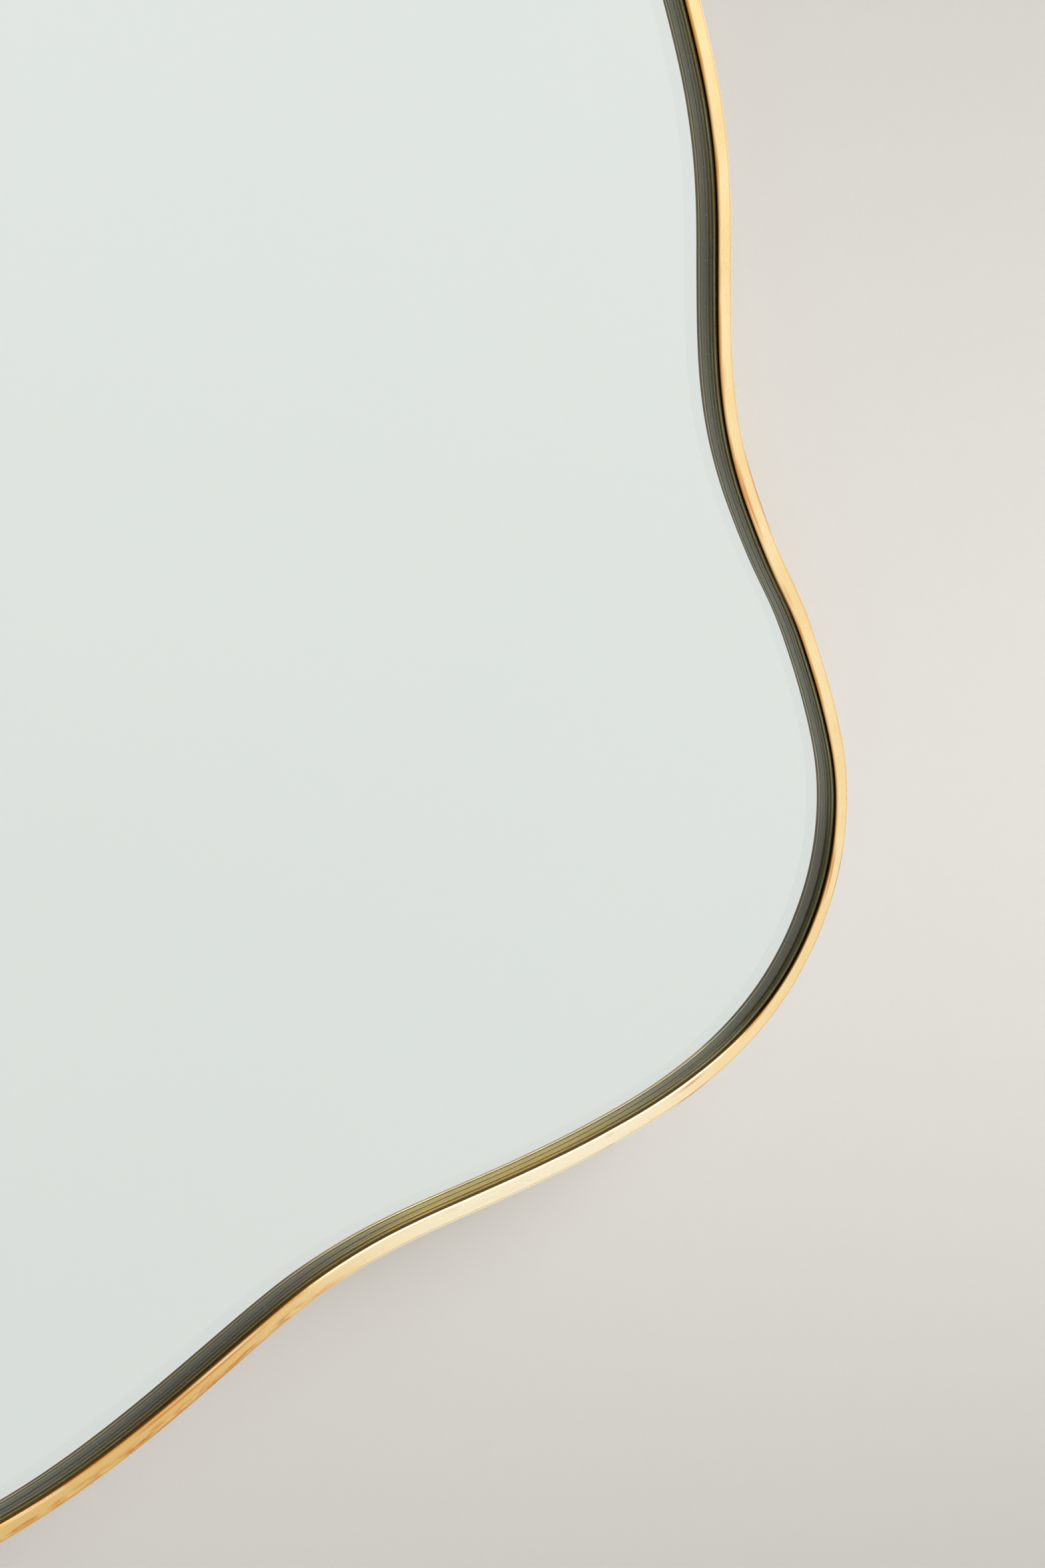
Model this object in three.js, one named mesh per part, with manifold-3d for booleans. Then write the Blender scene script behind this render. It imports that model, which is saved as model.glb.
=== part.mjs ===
// Wavy wall mirror: a brass strip bent on edge round a free outline, with the glass set just below
// its front face, a backing board behind the glass, and two ring hangers on the back.
// Millimetres, +Z up, front towards -Y. The wall is the plane Y = 0, and the origin lies on it,
// midway between the two hooks that the rings hang on.
import * as THREE from "three";
import { mergeVertices } from "three/addons/utils/BufferGeometryUtils.js";
import Module from "manifold-3d";

const wasm = await Module();
wasm.setup();

// Outline, measured over the outside of the strip
const OVERALL_WIDTH = 471;
const OVERALL_HEIGHT = 676;
const FACET_LENGTH = 9; // longest flat along the bent line

// Brass strip
const STRIP_WIDTH = 5; // the width seen from the front
const STRIP_ARRIS = 0.4; // broken edge along each corner of the strip
const REAR_SPACE = 6; // board to the strip's back edge

// Mirror glass and what it is stuck to
const GLASS_THICKNESS = 4;
const GLASS_RECESS = 2; // strip's front face to the glass
const GLASS_SEAM = 0.5; // ground edge of the glass
const GLASS_CLEARANCE = 0.6; // glass edge to strip
const BOARD_THICKNESS = 9;
const BOARD_CLEARANCE = 1; // board edge to strip

// Tape between glass and board, in upright lengths
const TAPE_THICKNESS = 1;
const TAPE_WIDTH = 25;
const TAPE_COUNT = 5;
const TAPE_EDGE = 67; // middle of the outermost tape from the widest point of the strip
const TAPE_MARGIN = 18; // tape end to the middle of the strip

// Tabs brazed inside the strip, which hold the board
const TAB_WIDTH = 18;
const TAB_REACH = 20; // out from the middle of the strip
const TAB_THICKNESS = 2;
const TAB_SCREW_INSET = 12; // screw from the middle of the strip
const TAB_HOLE_RADIUS = 2;
const BRAZE_GAP = 0.3;

// Pan-head wood screws
const SCREW_LENGTH = 9.5; // under the head
const SCREW_RADIUS = 1.5;
const SCREW_POINT = 2.5; // length of the tapered end
const HEAD_RADIUS = 3.5;
const HEAD_HEIGHT = 2.2;
const HEAD_RIM = 0.6; // upright edge of the head below its dome
const CROSS_LENGTH = 3.8;
const CROSS_WIDTH = 0.8;
const CROSS_DEPTH = 1.2;
const PILOT_CLEARANCE = 0.3;
const PILOT_SPARE_DEPTH = 0.5;

// Ring hangers: a folded strap and a bent wire ring
const HANGER_SPACING = 140;
const HANGER_DROP = 110; // ring pin below the top of the strip
const STRAP_WIDTH = 14;
const SHEET_THICKNESS = 1.2;
const FOLD_GAP = 0.3; // between the two layers of the strap
const STRAP_SCREWS = [20, 32]; // below the ring pin
const STRAP_HOLE_RADIUS = 2;
const WIRE_RADIUS = 1.5;
const WIRE_CLEARANCE = 0.3; // wire to the inside of the strap's loop
const WIRE_SEAM = 0.6; // gap where the two wire ends meet inside the strap
const RING_WIDTH = 22; // middle of wire to middle of wire
const RING_HEIGHT = 14; // pin to the middle of the wire at the top of the ring
const RING_CORNER = 3;

// Rubber bumpers, which keep the brass off the wall
const BUMPER_RADIUS = 6;
const BUMPER_TIP_RADIUS = 4.2;
const BUMPER_BEVEL = 0.9;
const BUMPER_PROUD = 2; // past the strip's back edge
const BUMPER_INSET = 24; // from the middle of the strip

// Poles that the bent line is drawn towards, clockwise from the right-hand waist, to the shape of
// the outline. OVERALL_WIDTH and OVERALL_HEIGHT stretch them to size.
const POLES = [
  [32, 110], [131, 23], [132, -56], [241, -130], [235, -218],
  [118, -255], [52, -264], [-29, -336], [-216, -331], [-212, -233],
  [-160, -149], [-210, -74], [-248, 10], [-190, 104], [-185, 203],
  [-150, 288], [-60, 342], [62, 345], [132, 273], [76, 195],
];
// Places along the bent line, counted in poles
const TAB_PLACES = [0.7, 5.2, 7.6, 11, 14, 17.2];
const BUMPER_PLACES = [4, 9, 15.3, 18.4];

// Depths, from the wall forwards
const STRIP_BACK = -BUMPER_PROUD;
const BOARD_BACK = STRIP_BACK - REAR_SPACE;
const BOARD_FRONT = BOARD_BACK - BOARD_THICKNESS;
const GLASS_BACK = BOARD_FRONT - TAPE_THICKNESS;
const GLASS_FRONT = GLASS_BACK - GLASS_THICKNESS;
const STRIP_FRONT = GLASS_FRONT - GLASS_RECESS;

// Ring hangers, from the pin of the ring
const LOOP_INNER = WIRE_RADIUS + WIRE_CLEARANCE;
const LOOP_OUTER = LOOP_INNER + SHEET_THICKNESS;
const STRAP_THICKNESS = 2 * SHEET_THICKNESS + FOLD_GAP;
const PIN_Y = BOARD_BACK + LOOP_OUTER;
const PIN_Z = OVERALL_HEIGHT / 2 - HANGER_DROP;
const HOOK_Z = PIN_Z + RING_HEIGHT - WIRE_RADIUS;

// Flats round a small circle
const HOLE_SIDES = 12;
const SCREW_SIDES = 12;
const BUMPER_SIDES = 20;
const DOME_STEPS = 3;
const ARC_STEPS = 12;
const WIRE_STEPS = 36;

const brass = new THREE.MeshStandardMaterial({ color: 0xe6c98c, roughness: 0.32, metalness: 1 });
const silvered = new THREE.MeshStandardMaterial({ color: 0xdbe0dc, roughness: 0.02, metalness: 1 });
const fibreboard = new THREE.MeshStandardMaterial({ color: 0x9a7a55, roughness: 0.85, metalness: 0 });
const foam = new THREE.MeshStandardMaterial({ color: 0xe8e6e0, roughness: 0.9, metalness: 0 });
const zinc = new THREE.MeshStandardMaterial({ color: 0xb4b6b8, roughness: 0.35, metalness: 1 });
const rubber = new THREE.MeshStandardMaterial({ color: 0x2a2a2a, roughness: 0.8, metalness: 0 });

// Closed uniform cubic B-spline in the plane: curvature changes without a break, as it does in a
// bar bent on edge. Place k of the poles is at t = k / poles.length.
class BentLine extends THREE.Curve {
  constructor(poles) {
    super();
    this.poles = poles;
    this.arcLengthDivisions = 100 * poles.length;
  }

  getPoint(t, target = new THREE.Vector2()) {
    const count = this.poles.length;
    const place = t * count;
    const before = Math.floor(place);
    const u = place - before;
    const weights = [
      (1 - u) ** 3,
      3 * u ** 3 - 6 * u ** 2 + 4,
      -3 * u ** 3 + 3 * u ** 2 + 3 * u + 1,
      u ** 3,
    ];
    target.set(0, 0);
    weights.forEach((weight, i) => {
      const pole = this.poles[(before - 1 + i + count) % count];
      target.addScaledVector(pole, weight / 6);
    });
    return target;
  }
}

// The bent line of the strip's middle, stretched so that the strip's outside has the overall size
// and centred on the middle of that size.
function bentLine() {
  const poles = POLES.map(([x, z]) => new THREE.Vector2(x, z));
  const drawn = new THREE.Box2().setFromPoints(new BentLine(poles).getPoints(100 * poles.length));
  const size = drawn.getSize(new THREE.Vector2());
  const middle = drawn.getCenter(new THREE.Vector2());
  const stretch = new THREE.Vector2(
    (OVERALL_WIDTH - STRIP_WIDTH) / size.x,
    (OVERALL_HEIGHT - STRIP_WIDTH) / size.y,
  );
  return new BentLine(poles.map((pole) => pole.sub(middle).multiply(stretch)));
}

const line = bentLine();
const stations = Math.ceil(line.getLength() / FACET_LENGTH);

// Outward normal of the bent line, whose poles run clockwise.
function outward(tangent) {
  return new THREE.Vector2(-tangent.y, tangent.x);
}

// The bent line moved outwards by a distance, as the corners of a closed polygon.
function offsetLine(distance) {
  return Array.from({ length: stations }, (_, i) => {
    const share = i / stations;
    return line.getPointAt(share).addScaledVector(outward(line.getTangentAt(share)), distance);
  });
}

// The frame of a fitting at a place along the line: its point, inset from the line, and the angle
// from +X of the direction out of the mirror.
function fittingAt(place, inset) {
  const t = place / POLES.length;
  const out = outward(line.getTangent(t));
  const point = line.getPoint(t).addScaledVector(out, -inset);
  return { x: point.x, z: point.y, angle: out.angle() };
}

// Middle of the area inside a polygon, where the weight of a flat sheet acts.
function middleOfArea(corners) {
  const sum = new THREE.Vector2();
  let twiceArea = 0;
  corners.forEach((a, i) => {
    const b = corners[(i + 1) % corners.length];
    const cross = a.cross(b);
    sum.addScaledVector(a, cross).addScaledVector(b, cross);
    twiceArea += cross;
  });
  return sum.divideScalar(3 * twiceArea);
}

// The longest upright run inside a polygon at x.
function uprightRun(corners, x) {
  const crossings = [];
  corners.forEach((a, i) => {
    const b = corners[(i + 1) % corners.length];
    if (a.x < x !== b.x < x) crossings.push(a.y + ((b.y - a.y) * (x - a.x)) / (b.x - a.x));
  });
  crossings.sort((low, high) => low - high);
  let run = [0, 0];
  for (let i = 0; i < crossings.length; i += 2) {
    if (crossings[i + 1] - crossings[i] > run[1] - run[0]) run = crossings.slice(i, i + 2);
  }
  return run;
}

// A shape in X and Z extruded between two depths, with its edges broken by a small bevel.
function plate(shape, back, front, bevel = 0) {
  const geometry = new THREE.ExtrudeGeometry(shape, {
    depth: back - front - 2 * bevel,
    bevelEnabled: bevel > 0,
    bevelThickness: bevel,
    bevelSize: bevel,
    bevelOffset: -bevel,
    bevelSegments: 1,
    curveSegments: ARC_STEPS,
  });
  return geometry.rotateX(Math.PI / 2).translate(0, back - bevel, 0);
}

function solidOf(geometry) {
  const bare = geometry.clone();
  bare.deleteAttribute("normal");
  bare.deleteAttribute("uv");
  const merged = mergeVertices(bare, 1e-4);
  return new wasm.Manifold(
    new wasm.Mesh({
      numProp: 3,
      vertProperties: merged.attributes.position.array,
      triVerts: new Uint32Array(merged.index.array),
    }),
  );
}

function geometryOf(solid) {
  const mesh = solid.getMesh();
  const geometry = new THREE.BufferGeometry();
  geometry.setAttribute("position", new THREE.BufferAttribute(mesh.vertProperties, 3));
  geometry.setIndex(new THREE.BufferAttribute(mesh.triVerts, 1));
  geometry.computeVertexNormals();
  return geometry;
}

// A geometry less others.
function cut(geometry, tools) {
  return geometryOf(tools.reduce((rest, tool) => rest.subtract(solidOf(tool)), solidOf(geometry)));
}

// A round cutter along Y.
function drill(radius, x, z, back, front) {
  const length = back - front;
  return new THREE.CylinderGeometry(radius, radius, length, HOLE_SIDES).translate(x, back - length / 2, z);
}

function stripFrame() {
  const face = new THREE.Shape(offsetLine(STRIP_WIDTH / 2));
  face.holes.push(new THREE.Path(offsetLine(-STRIP_WIDTH / 2).reverse()));
  return plate(face, STRIP_BACK, STRIP_FRONT, STRIP_ARRIS);
}

function mirrorGlass() {
  const pane = new THREE.Shape(offsetLine(-STRIP_WIDTH / 2 - GLASS_CLEARANCE));
  return plate(pane, GLASS_BACK, GLASS_FRONT, GLASS_SEAM);
}

function backingBoard(pilots) {
  const panel = new THREE.Shape(offsetLine(-STRIP_WIDTH / 2 - BOARD_CLEARANCE));
  const radius = SCREW_RADIUS + PILOT_CLEARANCE;
  const holes = pilots.map(({ x, z, headSeat }) => {
    const bottom = headSeat - SCREW_LENGTH - PILOT_SPARE_DEPTH;
    return drill(radius, x, z, headSeat, bottom);
  });
  return cut(plate(panel, BOARD_BACK, BOARD_FRONT), holes);
}

// One upright tape, as long as the outline allows at its place.
function mountingTape(x) {
  const corners = offsetLine(0);
  const runs = [-TAPE_WIDTH / 2, TAPE_WIDTH / 2].map((side) => uprightRun(corners, x + side));
  const low = Math.max(...runs.map((run) => run[0])) + TAPE_MARGIN;
  const high = Math.min(...runs.map((run) => run[1])) - TAPE_MARGIN;
  const middle = new THREE.Vector3(x, (GLASS_BACK + BOARD_FRONT) / 2, (low + high) / 2);
  return new THREE.BoxGeometry(TAPE_WIDTH, TAPE_THICKNESS, high - low).translate(...middle);
}

// A tab with a rounded free end, whose brazed end is cut to the strip's inner face.
function fixingTab({ x, z, angle }) {
  const half = TAB_WIDTH / 2;
  const plan = new THREE.Shape();
  plan.moveTo(0, -half);
  plan.lineTo(0, half);
  plan.lineTo(half - TAB_REACH, half);
  plan.absarc(half - TAB_REACH, 0, half, Math.PI / 2, (3 * Math.PI) / 2, false);
  const blank = plate(plan, BOARD_BACK + TAB_THICKNESS, BOARD_BACK);
  blank.rotateY(-angle).translate(x, 0, z);
  const inside = plate(
    new THREE.Shape(offsetLine(-STRIP_WIDTH / 2 - BRAZE_GAP)),
    BOARD_BACK + 2 * TAB_THICKNESS,
    BOARD_BACK - TAB_THICKNESS,
  );
  const fitted = geometryOf(solidOf(blank).intersect(solidOf(inside)));
  const hole = {
    x: x - TAB_SCREW_INSET * Math.cos(angle),
    z: z - TAB_SCREW_INSET * Math.sin(angle),
  };
  const back = BOARD_BACK + 2 * TAB_THICKNESS;
  return cut(fitted, [drill(TAB_HOLE_RADIUS, hole.x, hole.z, back, BOARD_BACK - TAB_THICKNESS)]);
}

// A pan-head screw along Y, with the underside of its head at the origin.
function panScrew() {
  const profile = [
    new THREE.Vector2(0, -SCREW_LENGTH),
    new THREE.Vector2(SCREW_RADIUS, SCREW_POINT - SCREW_LENGTH),
    new THREE.Vector2(SCREW_RADIUS, 0),
    new THREE.Vector2(HEAD_RADIUS, 0),
  ];
  for (let step = 0; step < DOME_STEPS; step += 1) {
    const angle = (step / DOME_STEPS) * (Math.PI / 2);
    const height = HEAD_RIM + (HEAD_HEIGHT - HEAD_RIM) * Math.sin(angle);
    profile.push(new THREE.Vector2(HEAD_RADIUS * Math.cos(angle), height));
  }
  profile.push(new THREE.Vector2(0, HEAD_HEIGHT));
  const cross = [0, Math.PI / 2].map((turn) =>
    new THREE.BoxGeometry(CROSS_LENGTH, 2 * CROSS_DEPTH, CROSS_WIDTH)
      .rotateY(turn)
      .translate(0, HEAD_HEIGHT, 0),
  );
  return cut(new THREE.LatheGeometry(profile, SCREW_SIDES), cross);
}

// A strip of sheet folded round the ring's pin, with its tail of two layers going down and the
// pin at the origin.
function hangerStrap() {
  const tail = STRAP_SCREWS.at(-1) + STRAP_WIDTH;
  const board = -LOOP_OUTER;
  const top = board + STRAP_THICKNESS;
  const leaveOuter = Math.asin(top / LOOP_OUTER);
  const leaveInner = Math.asin((top - SHEET_THICKNESS) / LOOP_INNER);
  const side = new THREE.Shape();
  side.moveTo(tail, board);
  side.lineTo(tail, board + SHEET_THICKNESS);
  side.absarc(0, 0, LOOP_INNER, -Math.PI / 2, leaveInner, true);
  side.lineTo(tail, top - SHEET_THICKNESS);
  side.lineTo(tail, top);
  side.lineTo(LOOP_OUTER * Math.cos(leaveOuter), top);
  side.absarc(0, 0, LOOP_OUTER, leaveOuter, 1.5 * Math.PI, false);
  const folded = new THREE.ExtrudeGeometry(side, {
    depth: 2 * STRAP_WIDTH,
    bevelEnabled: false,
    curveSegments: ARC_STEPS,
  });
  folded.translate(0, 0, -STRAP_WIDTH).rotateY(Math.PI / 2);
  const half = STRAP_WIDTH / 2;
  const last = STRAP_SCREWS.at(-1);
  const plan = new THREE.Shape();
  plan.moveTo(-half, 2 * LOOP_OUTER);
  plan.lineTo(-half, -last);
  plan.absarc(0, -last, half, Math.PI, 2 * Math.PI, false);
  plan.lineTo(half, 2 * LOOP_OUTER);
  const trimmed = solidOf(folded).intersect(solidOf(plate(plan, 2 * LOOP_OUTER, -2 * LOOP_OUTER)));
  const holes = STRAP_SCREWS.map((below) =>
    drill(STRAP_HOLE_RADIUS, 0, -below, 2 * LOOP_OUTER, -2 * LOOP_OUTER),
  );
  return cut(geometryOf(trimmed), holes);
}

// A wire bent to a D, standing up from the pin at the origin. Its ends meet inside the strap.
function hangerRing() {
  const half = RING_WIDTH / 2;
  const right = [[WIRE_SEAM / 2, 0], [half / 2, 0]];
  for (const turn of [0, Math.PI / 4]) {
    const x = half - RING_CORNER * (1 - Math.sin(turn));
    right.push([x, RING_CORNER * (1 - Math.cos(turn))]);
  }
  for (const turn of [0, Math.PI / 6, Math.PI / 3]) {
    const z = RING_CORNER + (RING_HEIGHT - RING_CORNER) * Math.sin(turn);
    right.push([half * Math.cos(turn), z]);
  }
  const left = right.map(([x, z]) => [-x, z]).reverse();
  const bend = [...right, [0, RING_HEIGHT], ...left].map(([x, z]) => new THREE.Vector3(x, 0, z));
  const wire = new THREE.Shape().absarc(0, 0, WIRE_RADIUS, 0, 2 * Math.PI, false);
  return new THREE.ExtrudeGeometry(wire, {
    extrudePath: new THREE.CatmullRomCurve3(bend),
    steps: WIRE_STEPS,
    curveSegments: ARC_STEPS / 3,
  });
}

// A rubber bumper from the board to the wall, narrower at its tip.
function wallBumper() {
  const profile = [
    new THREE.Vector2(0, BOARD_BACK),
    new THREE.Vector2(BUMPER_RADIUS, BOARD_BACK),
    new THREE.Vector2(BUMPER_TIP_RADIUS + BUMPER_BEVEL, -BUMPER_BEVEL),
    new THREE.Vector2(BUMPER_TIP_RADIUS, 0),
    new THREE.Vector2(0, 0),
  ];
  return new THREE.LatheGeometry(profile, BUMPER_SIDES);
}

const part = new THREE.Group();

function add(name, geometry, material, x = 0, y = 0, z = 0) {
  const mesh = new THREE.Mesh(geometry, material);
  mesh.name = name;
  mesh.position.set(x, y, z);
  part.add(mesh);
}

const balance = middleOfArea(offsetLine(0)).x;
const hangers = [
  { side: "left", x: balance - HANGER_SPACING / 2 },
  { side: "right", x: balance + HANGER_SPACING / 2 },
];
const tabs = TAB_PLACES.map((place) => fittingAt(place, 0));
const tabScrews = TAB_PLACES.map((place) => ({
  ...fittingAt(place, TAB_SCREW_INSET),
  headSeat: BOARD_BACK + TAB_THICKNESS,
}));
const hangerScrews = hangers.flatMap(({ x }) =>
  STRAP_SCREWS.map((below) => ({ x, z: PIN_Z - below, headSeat: BOARD_BACK + STRAP_THICKNESS })),
);

add("frame_strip", stripFrame(), brass);
add("mirror_glass", mirrorGlass(), silvered);
const tapeReach = OVERALL_WIDTH / 2 - TAPE_EDGE;
for (let i = 0; i < TAPE_COUNT; i += 1) {
  const x = THREE.MathUtils.lerp(-tapeReach, tapeReach, i / (TAPE_COUNT - 1));
  add(`mounting_tape_${i + 1}`, mountingTape(x), foam);
}
add("backing_board", backingBoard([...tabScrews, ...hangerScrews]), fibreboard);
tabs.forEach((tab, i) => add(`fixing_tab_${i + 1}`, fixingTab(tab), brass));
tabScrews.forEach(({ x, z, headSeat }, i) => add(`tab_screw_${i + 1}`, panScrew(), zinc, x, headSeat, z));
hangers.forEach(({ side, x }) => {
  add(`hanger_strap_${side}`, hangerStrap(), zinc, x, PIN_Y, PIN_Z);
  add(`hanger_ring_${side}`, hangerRing(), zinc, x, PIN_Y, PIN_Z);
});
hangerScrews.forEach(({ x, z, headSeat }, i) =>
  add(`hanger_screw_${i + 1}`, panScrew(), zinc, x, headSeat, z),
);
BUMPER_PLACES.map((place) => fittingAt(place, BUMPER_INSET)).forEach(({ x, z }, i) =>
  add(`wall_bumper_${i + 1}`, wallBumper(), rubber, x, 0, z),
);

part.position.set(-balance, 0, -HOOK_Z);

export default part;
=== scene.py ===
import math

import bmesh
import bpy
import numpy as np
from mathutils import Matrix, Vector
from mathutils.geometry import tessellate_polygon


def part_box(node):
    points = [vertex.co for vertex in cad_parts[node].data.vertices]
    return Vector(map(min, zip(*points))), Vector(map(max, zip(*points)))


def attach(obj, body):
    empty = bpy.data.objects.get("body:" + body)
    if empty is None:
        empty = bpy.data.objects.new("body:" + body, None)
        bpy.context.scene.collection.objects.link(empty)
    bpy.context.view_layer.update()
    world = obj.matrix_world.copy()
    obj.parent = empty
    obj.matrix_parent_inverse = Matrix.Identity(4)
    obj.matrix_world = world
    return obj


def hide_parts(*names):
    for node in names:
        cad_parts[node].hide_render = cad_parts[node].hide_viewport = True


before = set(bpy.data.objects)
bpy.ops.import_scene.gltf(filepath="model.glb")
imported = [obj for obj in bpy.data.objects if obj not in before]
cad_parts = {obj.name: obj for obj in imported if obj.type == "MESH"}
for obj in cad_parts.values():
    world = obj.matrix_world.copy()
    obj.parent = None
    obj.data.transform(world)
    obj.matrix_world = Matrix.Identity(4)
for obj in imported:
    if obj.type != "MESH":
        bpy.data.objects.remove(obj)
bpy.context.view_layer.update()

MM = 0.001
BODY = "mirror"

# Sizes in millimetres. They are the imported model's, except that the glass stands closer to the
# strip, with a finer seam and its back 0.05 further forward, and that the strip's edges are round.
STRIP_WIDTH = 5
STRIP_FRONT = -24
STRIP_BACK = -2
OUTER_ROUND = 0.3
INNER_ROUND = 0.95
BACK_ROUND = 0.4
SWELL = 0.12  # largest unevenness of the strip's inner side
SWELL_DEPTH = 6  # it fades out this far behind the face
GLASS_CLEARANCE = 0.15
GLASS_FRONT = -22
GLASS_BACK = -18.05
GLASS_SEAM = 0.15
BOARD_BACK = -8
TAB_THICKNESS = 2
TAB_WIDTH = 18
TAB_SCREW_INSET = 12
BRAZE_GAP = 0.15  # strip and tab to the middle of the braze bead
BRAZE_RADIUS = 0.75
BRAZE_RIPPLE = 0.12
BRAZE_SQUASH = 0.9
BRAZE_INSET = 0.6  # its end from the tab's edge
HANGER_X = 70
PIN_Y = -5
PIN_Z = -12.5
STRAP_THICKNESS = 2.7
STRAP_SCREWS = (20, 32)  # below the pin
WIRE_RADIUS = 1.5
RING_HALF_WIDTH = 11
RING_HEIGHT = 14
RING_CORNER = 3
WIRE_SEAM = 0.6
PIN_STEPS = (2.5, 5)  # sections of the wire between its seam and its corner
SCREW_LENGTH = 9.5
SCREW_RADIUS = 1.5
SCREW_POINT = 2.5
HEAD_RADIUS = 3.5
HEAD_HEIGHT = 2.2
HEAD_RIM = 0.6
HEAD_EDGE = 0.15  # broken edge under the head
NECK_LENGTH = 1  # plain neck under the head
THREAD_TOP = -0.7
THREAD_PITCH = 1.2
BUMPER_RADIUS = 6
BUMPER_TIP_RADIUS = 4.2
BUMPER_INSET = 24
BUMPER_FLANGE = 1.1
BUMPER_SHOULDER = 1.5
BUMPER_STEP = 0.6
BUMPER_DISH_RADIUS = 1.6
BUMPER_DISH_DEPTH = 0.25
BUMPER_ROUND = 0.35

# Poles of the bent line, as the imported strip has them
POLES = np.array([
    (32, 110), (131, 23), (132, -56), (241, -130), (235, -218),
    (118, -255), (52, -264), (-29, -336), (-216, -331), (-212, -233),
    (-160, -149), (-210, -74), (-248, 10), (-190, 104), (-185, 203),
    (-150, 288), (-60, 342), (62, 345), (132, 273), (76, 195),
], float)
TAB_PLACES = (0.7, 5.2, 7.6, 11, 14, 17.2)
BUMPER_PLACES = (4, 9, 15.3, 18.4)
STATION = 1.6  # spacing of the swept sections along the line
LINE_SAMPLES = 40001
FIT_SAMPLES = 8000

# Places on the object where its looks change, in metres in the row frame
BOTTOM_Z = (-0.43, -0.47)  # start and full strength of the run along the bottom
BOTTOM_FADE_RIGHT = 0.06
BOTTOM_FADE_LEFT = (-0.03, 0.04)
GOLDEN_HIGHLIGHT_STRETCH = (0.225, 0.085)
FACE_HIGHLIGHT_STRETCH = (0.245, 0.1)
ARRIS_HIGHLIGHT_STRETCH = (0.25, 0.1)
SHADED_X = (0.13, 0.07)  # lower left part of the sunk brass
FACE_SHADE_X = (0.115, 0.05)  # lower left part of the face
FACE_SHADE_Z = (-0.44, -0.49)
SHADE_STREAKS_Y = ((-0.0207, -0.0198), (-0.0227, -0.0232))
LIT_EDGE_Y = (-0.0202, -0.0216)

# The same across the strip's section, in metres from its outer arris
OUTER_EDGE = (0.0005, 0.0001)
OUTER_HALF = (0.0028, 0.0008)
STAIN_REACH = (0.0025, 0.0036)
ARRIS_WARM_SHADE = (0.0037, 0.0047)
ARRIS_STEEP_SHADE = (0.0042, 0.0047)
STEEP_SHIFT = 0.0002

# Orange stains at the strip's inner arris: place, extent in metres
STAINS = ((2.17, 0.018), (3.46, 0.011), (6.35, 0.03))

# Unevenness left by bending by hand: place, outward shift in millimetres, reach in places
HAND_BENDS = ((2.56, 0.85, 0.14), (2.93, -0.4, 0.14), (4.25, 0.6, 0.35))


# ---------------------------------------------------------------- bent line

def spline(poles, places):
    """Points and directions of the closed uniform cubic B-spline at places counted in poles."""
    before = np.floor(places).astype(int)
    u = places - before
    weights = np.stack([
        (1 - u) ** 3,
        3 * u ** 3 - 6 * u ** 2 + 4,
        -3 * u ** 3 + 3 * u ** 2 + 3 * u + 1,
        u ** 3,
    ], 1) / 6
    slopes = np.stack([
        -3 * (1 - u) ** 2,
        9 * u ** 2 - 12 * u,
        -9 * u ** 2 + 6 * u + 3,
        3 * u ** 2,
    ], 1) / 6
    near = poles[(before[:, None] - 1 + np.arange(4)) % len(poles)]
    return (weights[:, :, None] * near).sum(1), (slopes[:, :, None] * near).sum(1)


def outward(directions):
    """Unit normals that point out of the mirror."""
    unit = directions / np.linalg.norm(directions, axis=1)[:, None]
    return np.stack([-unit[:, 1], unit[:, 0]], 1)


def fitted_poles():
    """The poles in the row frame, in millimetres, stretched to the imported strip's box."""
    drawn, _ = spline(POLES, np.linspace(0, len(POLES), FIT_SAMPLES, endpoint=False))
    low, high = drawn.min(0), drawn.max(0)
    strip_low, strip_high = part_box("frame_strip")
    box_low = np.array([strip_low.x, strip_low.z]) / MM
    box_high = np.array([strip_high.x, strip_high.z]) / MM
    stretch = (box_high - box_low - STRIP_WIDTH) / (high - low)
    return (POLES - (low + high) / 2) * stretch + (box_low + box_high) / 2


ROW_POLES = fitted_poles()


def stations():
    """Evenly spaced points of the bent line, with normals, runs, the whole length and places."""
    places = np.linspace(0, len(POLES), LINE_SAMPLES)
    points, _ = spline(ROW_POLES, places % len(POLES))
    run = np.r_[0, np.cumsum(np.linalg.norm(np.diff(points, axis=0), axis=1))]
    length = run[-1]
    count = int(round(length / STATION))
    runs = np.arange(count) / count * length
    at = np.interp(runs, run, places)
    points, directions = spline(ROW_POLES, at)
    normals = outward(directions)
    for place, size, reach in HAND_BENDS:
        points += normals * (size * np.exp(-((at - place) / reach) ** 2))[:, None]
    return points, normals, runs, length, at


LINE, NORMALS, RUN, LENGTH, PLACES = stations()


def run_at(place):
    """Length along the line to a place, in millimetres."""
    return np.interp(place, PLACES, RUN)


def fitting_at(place, inset):
    """Point at a place along the line, inset from it."""
    points, directions = spline(ROW_POLES, np.array([float(place)]))
    return points[0] - inset * outward(directions)[0]


# ---------------------------------------------------------------- meshes

def new_piece(name, vertices, faces, materials, uv=None, material_index=None, smooth=None):
    """A mesh object from millimetre vertices in the row frame."""
    mesh = bpy.data.meshes.new(name)
    mesh.from_pydata([tuple(v) for v in np.asarray(vertices, float) * MM], [], faces)
    for material in materials:
        mesh.materials.append(material)
    if material_index is not None:
        mesh.polygons.foreach_set("material_index", np.asarray(material_index, np.int32))
    flags = np.ones(len(mesh.polygons), bool) if smooth is None else np.asarray(smooth, bool)
    mesh.polygons.foreach_set("use_smooth", flags)
    if uv is not None:
        layer = mesh.uv_layers.new(name="run")
        layer.data.foreach_set("uv", np.asarray(uv, np.float32).ravel())
    mesh.update()
    piece = bpy.data.objects.new(name, mesh)
    bpy.context.scene.collection.objects.link(piece)
    return piece


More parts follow.
